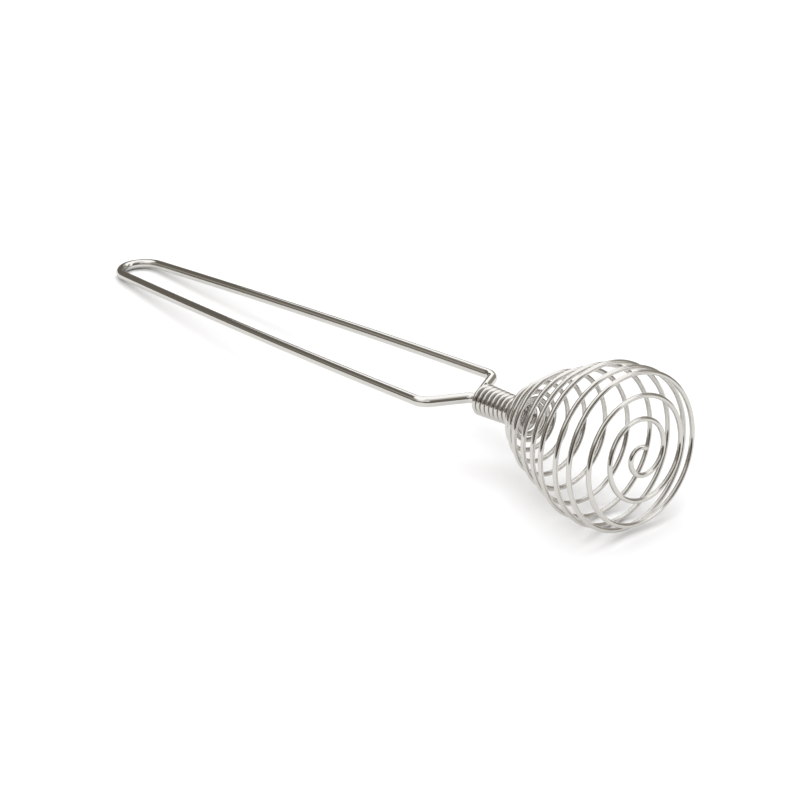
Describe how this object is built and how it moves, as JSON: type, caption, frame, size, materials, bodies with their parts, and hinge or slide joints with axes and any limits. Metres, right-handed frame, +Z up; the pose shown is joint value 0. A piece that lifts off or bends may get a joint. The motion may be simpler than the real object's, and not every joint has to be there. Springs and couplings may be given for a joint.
{
  "type": "coil whisk",
  "caption": "Sprung coil whisk for blending by hand: a pear-shaped coil basket of polished wire wound on the two ends of a hairpin wire handle.",
  "frame": {"origin": "on the table, under the middle of the bounding box, with the whisk lying as it rests on its handle loop and widest turns", "axes": "+Z up from the table; +X from the handle loop towards the basket tip, along the length; +Y to the far handle arm"},
  "size_m": [0.2834, 0.0528, 0.0531],
  "materials": {
    "handle_steel": "mirror-polished stainless steel wire",
    "coil_steel": "mirror-polished stainless spring wire"
  },
  "bodies": {
    "handle": {"handle_wire": "handle_steel", "neck_winding": "coil_steel", "flare_turns": "coil_steel"},
    "turn_1": {"basket_turn_1": "coil_steel"},
    "turn_2": {"basket_turn_2": "coil_steel"},
    "turn_3": {"basket_turn_3": "coil_steel"},
    "turn_4": {"basket_turn_4": "coil_steel"},
    "turn_5": {"basket_turn_5": "coil_steel"},
    "turn_6": {"basket_turn_6": "coil_steel"},
    "turn_7": {"basket_turn_7": "coil_steel"},
    "turn_8": {"basket_turn_8": "coil_steel"},
    "turn_9": {"basket_turn_9": "coil_steel"},
    "tip": {"face_spiral": "coil_steel", "tip_curl": "coil_steel"}
  },
  "joints": [
    {"name": "tip_press", "type": "slide", "parent": "handle", "child": "tip", "axis": [0.9962, 0, 0.0872], "range_m": [-0.012, 0], "stiffness_N_per_m": 800},
    {"name": "turn_1_shift", "type": "slide", "parent": "handle", "child": "turn_1", "axis": [0.9962, 0, 0.0872], "range_m": [-0.00044, 0]},
    {"name": "turn_2_shift", "type": "slide", "parent": "handle", "child": "turn_2", "axis": [0.9962, 0, 0.0872], "range_m": [-0.00127, 0]},
    {"name": "turn_3_shift", "type": "slide", "parent": "handle", "child": "turn_3", "axis": [0.9962, 0, 0.0872], "range_m": [-0.00256, 0]},
    {"name": "turn_4_shift", "type": "slide", "parent": "handle", "child": "turn_4", "axis": [0.9962, 0, 0.0872], "range_m": [-0.0042, 0]},
    {"name": "turn_5_shift", "type": "slide", "parent": "handle", "child": "turn_5", "axis": [0.9962, 0, 0.0872], "range_m": [-0.00601, 0]},
    {"name": "turn_6_shift", "type": "slide", "parent": "handle", "child": "turn_6", "axis": [0.9962, 0, 0.0872], "range_m": [-0.00765, 0]},
    {"name": "turn_7_shift", "type": "slide", "parent": "handle", "child": "turn_7", "axis": [0.9962, 0, 0.0872], "range_m": [-0.0093, 0]},
    {"name": "turn_8_shift", "type": "slide", "parent": "handle", "child": "turn_8", "axis": [0.9962, 0, 0.0872], "range_m": [-0.01081, 0]},
    {"name": "turn_9_shift", "type": "slide", "parent": "handle", "child": "turn_9", "axis": [0.9962, 0, 0.0872], "range_m": [-0.01179, 0]}
  ],
  "couplings": [
    {"joint": "turn_1_shift", "follows": "tip_press", "ratio": 0.02},
    {"joint": "turn_2_shift", "follows": "tip_press", "ratio": 0.089},
    {"joint": "turn_3_shift", "follows": "tip_press", "ratio": 0.197},
    {"joint": "turn_4_shift", "follows": "tip_press", "ratio": 0.333},
    {"joint": "turn_5_shift", "follows": "tip_press", "ratio": 0.484},
    {"joint": "turn_6_shift", "follows": "tip_press", "ratio": 0.621},
    {"joint": "turn_7_shift", "follows": "tip_press", "ratio": 0.758},
    {"joint": "turn_8_shift", "follows": "tip_press", "ratio": 0.884},
    {"joint": "turn_9_shift", "follows": "tip_press", "ratio": 0.966}
  ]
}
